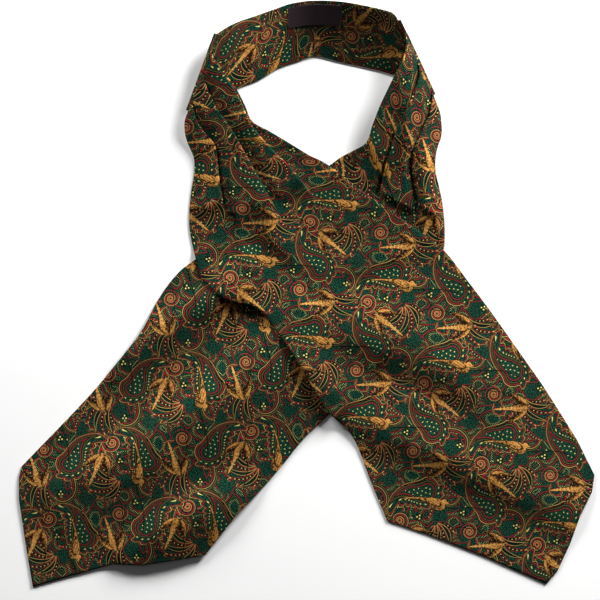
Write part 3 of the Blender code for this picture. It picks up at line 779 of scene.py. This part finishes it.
def lay(ink, mask):
    """Print an ink where the ground is still open."""
    if open_ground:
        mask = formula("mask * ground", mask=mask, ground=open_ground[-1])
    inks[ink] = formula("max(there, mask)", there=inks[ink], mask=mask) if ink in inks else mask


def claim(cover):
    """Keep later motifs off the ground that this one covers."""
    left = formula("1 - cover", cover=cover)
    open_ground.append(formula("ground * left", ground=open_ground[-1], left=left) if open_ground else left)


def fill(away):
    """1 inside an outline and 0 outside it."""
    return formula("clamp(away * sharp)", away=away, sharp=-1 / SOFT)


def dot(x, y, radius):
    """1 inside a round spot."""
    return formula("fill(sqrt(x*x + y*y) - radius)", x=x, y=y, radius=radius)


MASKS.update(fill=fill, dot=dot)


def draw(ink, away, where=None, half=LINE, inset=0.0):
    """A line with dark edges along an outline or inside it, or along the part that is asked for."""
    gap = formula("abs(away + inset)", away=away, inset=inset)
    half = max(half, RED_LINE) if ink == "red" else half
    for name, reach in ((ink, half), ("shade", half + EDGE)):
        line = add("Math", gap, -1 / SOFT, reach / SOFT + 0.5, operation="MULTIPLY_ADD", use_clamp=True)
        lay(name, line if where is None else formula("line * where", line=line, where=where))


# %% [markdown]
# A paisley is a drop that bends at its tip. Its distance field is that of a cone with a round end, with
# the plane twisted more and more away from the middle. The toothed side is the same outline moved out
# by the petals of a sine wave. In every motif, x and y are in millimetres from its middle, and so are
# the numbers, apart from those that count petals, teeth or beads round it.

# %% Paisleys, fans and scrolls


def paisley(place, spots):
    """A bent drop with petals down one side, a dotted heart and beads round it."""
    m = work_out("""
        twist = sqrt(x*x + y*y) * 0.036
        c = cos(twist)
        s = sin(twist)
        bx = x*c - y*s
        by = x*s + y*c + 7
        t = clamp(by / 28)  # 0 at the round end and 1 at the tip
        rest = by - t*28
        drop = sqrt(bx*bx + rest*rest) - 8.4 + 8*t
        around = atan2(bx, by - 6)
        side = clamp(bx*0.4 + 0.4)
        edge = drop - 1.6 - side*(2*abs(sin(around*9)) + 2.2)
        heart = fill(drop + 1.4)
        dots = dot(wrap(bx + by*0.5, 1.7, -1.7), wrap(by, 1.5, -1.5), 0.5) * fill(drop + 3.3)
        beads = fill(abs(drop - 1.3) - 0.5) * clamp(sin(around*25)*3 - 1.4) * side
        cover = fill(edge - 0.7)
    """, *nearest(place, spots))
    draw("gold", m.edge)
    draw("red", m.edge, inset=1.1)
    draw("dull", m.drop, half=0.2, inset=0.7)
    draw("red", m.drop, inset=2.3)
    lay("bright", m.heart)
    lay("pale", m.dots)
    lay("pale", m.beads)
    claim(m.cover)


def fan(place, spots):
    """Seven leaves spread from a point, gold and crimson in turn, inside a toothed border."""
    m = work_out("""
        y = y + 10
        far = sqrt(x*x + y*y)
        angle = atan2(x, y) + far*0.04 - 0.5
        offset = wrap(angle, step/2, -step/2)
        index = (angle - offset) / step  # which leaf, from -3 to 3
        odd = abs(wrap(index, 1, -1))
        within = fill(abs(index) - 3.4)
        lateral = offset * far
        t = clamp((far - 2) / (23 - index*index*0.9))
        on = clamp(t*60) * clamp((1 - t)*60) * within
        leaf = abs(lateral) - sin(t*pi) * (0.9 + t*1.3)
        line = clamp((reach - abs(leaf)) / soft) * on
        gold = line * (1 - odd)
        red = line * odd
        shade = fill(leaf - 0.8) * on
        beads = dot(wrap(far, 1.3, -1.3), lateral, 0.48) * on * odd * clamp(far*0.3 - 2)
        edge = far - 27 + index*index*0.9 + abs(wrap(angle*9, 1, -1))*2.4
        cover = fill(edge - 0.7) * within
    """, *nearest(place, spots), step=math.radians(19), reach=LINE + SOFT / 2, soft=SOFT)
    lay("gold", m.gold)
    lay("red", m.red)
    lay("shade", m.shade)
    lay("pale", m.beads)
    draw("gold", m.edge, m.within)
    draw("red", m.edge, m.within, inset=1.15)
    claim(m.cover)


def scroll(place, spots):
    """Three lines that sweep round in an arc and taper at both ends."""
    m = work_out("""
        x = x + 9
        angle = atan2(y, x)
        bend = sqrt(x*x + y*y) - 11 - angle*2.6
        on = clamp((1.7 - abs(angle)) * 6)
        gap = 0.9 + 0.6*cos(angle)
        inner = bend + gap*1.1
        outer = bend - gap
        cover = fill(abs(bend) - 2.4) * on
    """, *nearest(place, spots))
    draw("gold", m.bend, m.on)
    draw("dull", m.outer, m.on, half=0.24)
    draw("red", m.inner, m.on)
    claim(m.cover)


# %% [markdown]
# Curls, buds, sprigs and berries fill the gaps between the large motifs. A curl is a logarithmic spiral:
# where a point's distance grows by the same factor each turn, its arms are evenly spaced in the logarithm
# of the distance.

# %% Curls, buds, sprigs and berries
CURL_GROWTH = 1.9  # how many times farther out each turn of a curl is


def curl(place, spots):
    """A gold spiral with a crimson one beside it."""
    m = work_out("""
        far = sqrt(x*x + y*y) + 0.01
        arm = log(far, growth) - atan2(y, x)/tau
        spread = far * log_growth
        gold = wrap(arm, 0.5, -0.5) * spread
        red = wrap(arm + 0.3, 0.5, -0.5) * spread
        on = clamp((7.5 - far)*2) * clamp((far - 0.8)*3)
    """, *nearest(place, spots), growth=CURL_GROWTH, log_growth=math.log(CURL_GROWTH))
    draw("gold", m.gold, m.on)
    draw("red", m.red, m.on, half=0.24)
    claim(m.on)


def bud(place, spots):
    """A small paisley with a scalloped head."""
    m = work_out("""
        x = x - y*y*0.03
        t = clamp(y/13 + 0.3)
        rest = y + 4 - t*13
        scallop = abs(sin(atan2(x, y + 4)*4)) * (1 - t)
        edge = sqrt(x*x + rest*rest) - 4.4 + 4.2*t - scallop
        eye = dot(x, y + 3.6, 0.55)
        cover = fill(edge - 0.6)
    """, *nearest(place, spots))
    draw("gold", m.edge)
    draw("red", m.edge, half=0.24, inset=1.1)
    lay("pale", m.eye)
    claim(m.cover)


def sprig(place, spots):
    """A long leaf with beads down its middle."""
    m = work_out("""
        bend = x - y*y*0.035
        t = clamp(y/15 + 0.5)
        on = clamp(t*40) * clamp((1 - t)*40)
        leaf = abs(bend) - sin(t*pi) * (1 + t*1.5)
        beads = dot(wrap(y, 1.2, -1.2), bend, 0.42) * on
        cover = fill(leaf - 0.5) * on
    """, *nearest(place, spots))
    draw("red", m.leaf, m.on)
    lay("pale", m.beads)
    claim(m.cover)


def berries(place, spots, ink):
    """Three in a triangle, and a fourth a little way off."""
    m = work_out("""
        third = wrap(atan2(y, x), pi/3, -pi/3)
        far = sqrt(x*x + y*y)
        group = max(dot(far*cos(third) - 1.3, far*sin(third), 0.66), dot(x - 5, y - 1, 0.5))
        shade = fill(far - 2.6)
        cover = fill(far - 3.2)
    """, *nearest(place, spots))
    lay(ink, m.group)
    lay("shade", m.shade)
    claim(m.cover)


# %% [markdown]
# What is left of the ground is filled with flowing lines, as an engraver would. They are the contours of
# a smooth wave on a slope, which keeps flat places small, and they repeat with the motifs. Dividing the
# wave by its slope keeps them equally wide everywhere.

# %% Flowing lines


def flowing_lines(place):
    """Contours in two inks and beads along a third, left out where the wave is flat."""
    m = work_out("""
        a = x * k
        b = y * k
        u = 2*a + 2.4*sin(b*2)
        v = 3*b + 2.2*sin(a*2 + 1)
        cu = cos(u)
        cv = cos(v)
        wave = (sin(u) + sin(v) + (4*a + 5*b)/pi) * 0.5
        slope_a = 2*cu + cv*4.4*cos(a*2 + 1) + 4/pi
        slope_b = cu*4.8*cos(b*2) + 3*cv + 5/pi
        slope = sqrt(slope_a*slope_a + slope_b*slope_b)*k + 0.02
        half_slope = slope * 0.5
        dull = wrap(wave, 0.5, -0.5) / half_slope
        red = wrap(wave + 0.3, 0.5, -0.5) / half_slope
        level = wrap(wave + 0.65, 0.5, -0.5) / half_slope
        patch = clamp(sin(a + b*2 + 1) * sin(a*2 - b) * 3 + 1.9)
        steep = clamp(slope*10 - 0.6) * patch
        grid = clamp(sin((a - b)*32) * sin((a + b)*32) * 4 - 2.2)
        beads = fill(abs(level) - 0.7) * grid * steep
    """, add("SeparateXYZ", place), add("SeparateXYZ", place, out=1), k=math.tau / REPEAT)
    draw("dull", m.dull, m.steep, half=0.12)
    draw("red", m.red, m.steep)
    lay("pale", m.beads)


# %% [markdown]
# The birds are drawn last and lie over everything, as solid shapes in orange gold and brown. A flying one
# has two swept wings, a plump body, and a long tail with pairs of pale bars. A perched one is seen from
# the side, with its wing folded. Streaks of noise along the feathers stand for the engraver's shading.
# Each curve gives half a shape's width, from one of its ends to the other.

# %% Game birds
WING = [(0, 0.75), (0.15, 1.0), (0.4, 0.95), (0.65, 0.7), (0.85, 0.38), (1, 0.04)]
TAIL_TO_HEAD = [
    (0, 0), (0.04, 0.05), (0.3, 0.1), (0.42, 0.15), (0.54, 0.26), (0.68, 0.34), (0.78, 0.3),
    (0.86, 0.17), (0.93, 0.2), (0.97, 0.13), (1, 0),
]
PERCHED = [(0, 0), (0.05, 0.04), (0.4, 0.08), (0.55, 0.17), (0.72, 0.35), (0.86, 0.4), (0.95, 0.27), (1, 0)]
Bird = namedtuple("Bird", "outline light")


def flying(place, spots):
    """Wings, then the body over them, then the tail's bars, the collar and the red face."""
    m = work_out("""
        x = x - 7
        wide = abs(y + x*0.12)
        out = wide*0.95 - x*0.3 - 0.4  # along the wing
        ahead = x*0.95 + wide*0.3 + out*out*0.045 - 1.6  # across it
        out_share = clamp(out / 15)
        body_share = clamp((x + 24) / 32)
        barb_x = out * 0.5
        barb_y = ahead * 1.3
    """, *nearest(place, spots))
    m.chord = add("FloatCurve", 1.0, m.out_share, points=WING)
    m.half = add("FloatCurve", 1.0, m.body_share, points=TAIL_TO_HEAD)
    m.barbs = add("TexNoise", add("CombineXYZ", m.barb_x, m.barb_y), 1.0, 2.0, 0.6, noise_dimensions="2D")
    m = work_out("""
        scallop = abs(sin(out*1.6)) * clamp(-ahead)
        wings = max(abs(ahead) - chord*2.9 - scallop*0.6, -out)
        wing_light = 0.22 + ahead*0.26 - clamp(out*0.25 - 2)*0.2 + (barbs - 0.5)*2.6
        body = max(wide - half*10, -x - 24)
        body_light = 0.62 - wide*0.17 + y*0.12
        bars = dot(wrap(x, 1.5, -1.5), wide - 0.75, 0.55) * clamp(-x - 4) * clamp(x + 21)
        collar = dot(x - 5.8, y, 1.2)
        face = dot(x - 7.3, y, 0.7)
    """, **vars(m))
    return Bird(m.wings, m.wing_light), Bird(m.body, m.body_light), m.bars, m.collar, m.face


def perched(place, spots):
    """Body and tail, a round head with its beak, and the folded wing as light and shade."""
    m = work_out("""
        x = x - 6
        y = y + sin(x*0.15)*1.6
        body_share = clamp((x + 24) / 32)
    """, *nearest(place, spots))
    m.half = add("FloatCurve", 1.0, m.body_share, points=PERCHED)
    m = work_out("""
        body = max(abs(y) - half*10, -x - 24)
        head = sqrt((x - 7)*(x - 7) + (y - 3.4)*(y - 3.4)) - 2
        beak = max(abs(y - 3.2) - (11.2 - x)*0.4, 8 - x)
        outline = min(body, min(head, beak))
        wing = sqrt((x + 1)*(x + 1)*0.2 + (y - 0.8)*(y - 0.8)) - 2.7
        quills = sin(y*3.4 + x*0.5) * clamp(-wing)
        light = 0.5 + y*0.09 + quills*0.25 - clamp(1 - abs(wing)*1.8)*0.7
    """, **vars(m))
    return Bird(m.outline, m.light)


# %% [markdown]
# ## Printed silk twill
#
# Silk twill is smooth and close, with a soft lustre rather than a shine, and it takes dyes deeply. The
# shader is set rougher and less reflective than real silk, because the low lamps would otherwise glare
# off it in low views from the front. The ground is bottle green with a brown cast here and there. Over
# it are tiny light and dark flecks, painted glints and painted shade where the twill's ribs would catch
# the light or miss it. Its real ribs are about 0.4 mm apart. They are drawn at about 0.9 mm and broken
# up by noise, so that some grain still shows from arm's length.

# %% Where each motif lies, and the colour of each ink
MOTIFS = [
    (paisley, [Spot(18, 18, 35), Spot(55, 52, 215, flip=-1)]),
    (fan, [Spot(12, 55, 160, 0.95), Spot(50, 17, -20, 0.95, -1)]),
    (scroll, [Spot(34, 66, 20), Spot(68, 34, 200, 0.95, -1)]),
    (curl, [Spot(33, 42, 280, flip=-1), Spot(70, 6, 30, 0.9)]),
    (bud, [Spot(34, 30, 60), Spot(36, 54, 210, flip=-1), Spot(68, 70, 330, 0.9)]),
    (sprig, [
        Spot(58, 36, 140, flip=-1), Spot(4, 36, 20, 0.9), Spot(34, 4, 320, 0.9, -1), Spot(22, 34, 75, 0.8),
    ]),
    (berries, [Spot(26, 44, 60), Spot(46, 36, 140), Spot(2, 20, 20), Spot(28, 62, 250)], "pale"),
    (berries, [Spot(40, 14, 10, 0.8), Spot(70, 58, 200, 0.8)], "scarlet"),
]
INK_COLOURS = {
    "dull": "#6a5e30", "red": "#9a1d29", "gold": "#b89a52", "pale": "#d2c46c", "scarlet": "#c41f2a",
}

# %% The printed silk


def printed_silk():
    """The silk's material, from the ground up to the birds."""
    material = new_material("printed silk twill")
    cut = add("UVMap", uv_map="Cut")
    place = add("VectorMath", cut, (1 / MM, 1 / MM, 0.0), operation="MULTIPLY")
    for motif, *how in MOTIFS:
        motif(place, *how)
    flowing_lines(place)

    fine = add("TexNoise", place, 1.2, 2.0, 0.6, noise_dimensions="2D")
    broad = add("TexNoise", place, 0.08, 2.0, 0.5, noise_dimensions="2D")
    # Painted glints and painted shade of the twill: light green flecks where a rib would catch the light,
    # near black between them. The heart colour takes the same flecks.
    painted_rib_glint = formula("clamp((fine - 0.45) * 6)", fine=fine)
    ground = add("Mix", painted_rib_glint, paint("#020a07"), paint("#1b4a38"), data_type="RGBA")
    brown = formula("clamp((broad - 0.48)*5) * clamp((0.6 - fine)*5)", broad=broad, fine=fine)
    colour = add("Mix", brown, ground, paint("#120f0a"), data_type="RGBA")
    heart = add("Mix", painted_rib_glint, paint("#06170f"), paint("#1a4836"), data_type="RGBA")
    colour = add("Mix", inks["bright"], colour, heart, data_type="RGBA")
    shade = formula("shade * 0.75", shade=inks["shade"])
    colour = add("Mix", shade, colour, paint("#020a06"), data_type="RGBA")
    inks["dull"] = formula("dull * clamp(fine*1.6 - 0.1)", dull=inks["dull"], fine=fine)
    for ink, code in INK_COLOURS.items():
        colour = add("Mix", inks[ink], colour, paint(code), data_type="RGBA")

    streak = add("TexNoise", place, 0.7, 3.0, 0.7, noise_dimensions="2D")
    sitting = perched(place, [Spot(57, 42, -45)])
    wings, body, bars, collar, face = flying(place, [Spot(37, 22, 112, 0.9), Spot(5, 62, -38, 0.9, -1)])
    for bird in (sitting, wings, body):
        tone = formula("clamp(light + (streak - 0.5)*2.8)", light=bird.light, streak=streak)
        feathers = add("Mix", tone, paint("#1c0d06"), paint("#c58c45"), data_type="RGBA")
        around = formula("fill(away - 0.4)", away=bird.outline)
        colour = add("Mix", around, colour, paint("#080503"), data_type="RGBA")
        colour = add("Mix", fill(bird.outline), colour, feathers, data_type="RGBA")
    for mask, code in ((bars, "#cba562"), (collar, "#0f3332"), (face, "#b51b26")):
        colour = add("Mix", mask, colour, paint(code), data_type="RGBA")

    along, across = add("SeparateXYZ", place), add("SeparateXYZ", place, out=1)
    height = formula("sin((a + b)*4.9 + fine*9)*0.4 + fine*1.6", a=along, b=across, fine=fine)
    bump = add("Bump", named={"Strength": 0.5, "Distance": 0.00012, "Height": height})
    surface = add("BsdfPrincipled", colour, named={
        "Roughness": 0.85, "Specular IOR Level": 0.05, "Sheen Weight": 0.01, "Sheen Roughness": 0.35,
        "Sheen Tint": paint("#a9c4b0"), "Normal": bump,
    })
    add("OutputMaterial", surface)
    print(f"{material.name}: {len(Bench.tree.nodes)} nodes, {', '.join(inks)} inks")
    return material


silk = printed_silk()

# %% [markdown]
# The label is a close satin of dark brown yarn with woven ribs across it, nearly as matt here as the
# silk, and for the same reason. Its stitches are a twisted brown thread.

# %% Label satin and thread


def label_satin():
    """The label's material, with a rib for each row of weft."""
    material = new_material("woven label satin")
    cut = add("UVMap", uv_map="Cut")
    place = add("VectorMath", cut, (1 / MM, 1 / MM, 0.0), operation="MULTIPLY")
    along, down = add("SeparateXYZ", place), add("SeparateXYZ", place, out=1)
    yarn = add("TexNoise", place, 1.6, 2.0, 0.6, noise_dimensions="2D")
    weft = formula("abs(sin(y * 5.2 + n))", y=down, n=yarn)
    warp = formula("abs(sin(x * 7.0))", x=along)
    height = formula("weft * 0.7 + warp * 0.3", weft=weft, warp=warp)
    # Partly painted shade: the colour follows the ribs' height, lighter on their tops and darker in the
    # grooves between them, with a random tone of the yarn over it.
    tone = formula("clamp(height * 0.6 + yarn * 0.6 - 0.2)", height=height, yarn=yarn)
    colour = add("Mix", tone, paint("#171113"), paint("#3b2d31"), data_type="RGBA")
    bump = add("Bump", named={"Strength": 0.5, "Distance": 0.0002, "Height": height})
    surface = add("BsdfPrincipled", colour, named={
        "Roughness": 0.8, "Specular IOR Level": 0.1, "Sheen Weight": 0.02, "Normal": bump,
    })
    add("OutputMaterial", surface)
    return material


def twisted_thread():
    """The stitches' material, in two browns that wind round each other."""
    material = new_material("twisted sewing thread")
    place = add("TexCoord", out=3)
    ply = add("TexWave", place, 1400.0, wave_type="BANDS", bands_direction="DIAGONAL", out=1)
    colour = add("Mix", ply, paint("#1d1512"), paint("#4a3a33"), data_type="RGBA")
    surface = add("BsdfPrincipled", colour, named={"Roughness": 0.55})
    add("OutputMaterial", surface)
    return material


satin = label_satin()
thread = twisted_thread()
for piece in (half_left, half_right, band_left, band_right):
    piece.data.materials.append(silk)
label.data.materials.append(satin)
label_stitches.data.materials.append(thread)

# %% [markdown]
# ## The table, the light and the camera
#
# The cravat lies on a pale table. Two square lamps stand low behind it, on the right and on the left, at
# about twenty degrees, because light that skims over cloth shows each fold. A faint one overhead and a
# weak light from all around fill the shadows. The camera looks straight down from far away, so the
# raised neckband keeps its place in the frame.

# %% Table, light and camera
TABLE_SIDE = 6.0
CAMERA_LENS, CAMERA_SENSOR = 300.0, 36.0
FRAME_SIDE = 0.438  # how much of the table the picture shows
FRAME_MIDDLE = (-0.0047, -0.0040)
FILL_LIGHT = 0.03  # how strong the light from all around is

ground = bmesh.new()
bmesh.ops.create_grid(ground, x_segments=1, y_segments=1, size=TABLE_SIDE / 2)
table_mesh = bpy.data.meshes.new("table")
ground.to_mesh(table_mesh)
ground.free()
table = bpy.data.objects.new("table", table_mesh)
bpy.context.scene.collection.objects.link(table)
table_paint = new_material("matt white laminate")
mottle = add("TexNoise", add("TexCoord", out=3), 3.0, 2.0, 0.5)
white = add("Mix", mottle, paint("#efefef"), paint("#f6f6f5"), data_type="RGBA")
add("OutputMaterial", add("BsdfPrincipled", white, named={"Roughness": 0.8, "Specular IOR Level": 0.2}))
table.data.materials.append(table_paint)


def lamp(name, direction, distance, size, power):
    """A square lamp that faces the middle of the cravat."""
    light = bpy.data.lights.new(name, "AREA")
    light.size, light.energy = size, power
    holder = bpy.data.objects.new(name, light)
    toward = Vector(direction).normalized()
    holder.location = toward * distance
    holder.rotation_euler = toward.to_track_quat("Z", "Y").to_euler()
    bpy.context.scene.collection.objects.link(holder)


lamp("key", (0.57, 0.75, 0.342), distance=1.4, size=0.5, power=54.0)
lamp("left", (-0.55, 0.76, 0.342), distance=2.4, size=0.8, power=64.0)
lamp("overhead", (-0.15, 0.1, 1.0), distance=2.6, size=1.6, power=2.0)
world = bpy.data.worlds.new("studio")
world.use_nodes = True
world.node_tree.nodes["Background"].inputs["Color"].default_value = (1.0, 1.0, 1.0, 1.0)
world.node_tree.nodes["Background"].inputs["Strength"].default_value = FILL_LIGHT
bpy.context.scene.world = world
bpy.context.scene.view_settings.view_transform = "Standard"

camera = bpy.data.objects.new("camera", bpy.data.cameras.new("camera"))
camera.data.lens, camera.data.sensor_width = CAMERA_LENS, CAMERA_SENSOR
camera.location = (*FRAME_MIDDLE, FRAME_SIDE * CAMERA_LENS / CAMERA_SENSOR)
bpy.context.scene.collection.objects.link(camera)
bpy.context.scene.camera = camera

# %% [markdown]
# ## Onto the body
#
# Every piece rides on the cravat's one body and takes the place of its plain solids.

# %% Ride and replace
PIECES = {
    half_left: ("pleats_left", "blade_over"),
    half_right: ("pleats_right", "blade_under"),
    band_left: ("neckband_left",),
    band_right: ("neckband_right",),
    label: ("neckband_label",),
}
for piece, solids in PIECES.items():
    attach(piece, "root")
    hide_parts(*solids)
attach(label_stitches, "root")
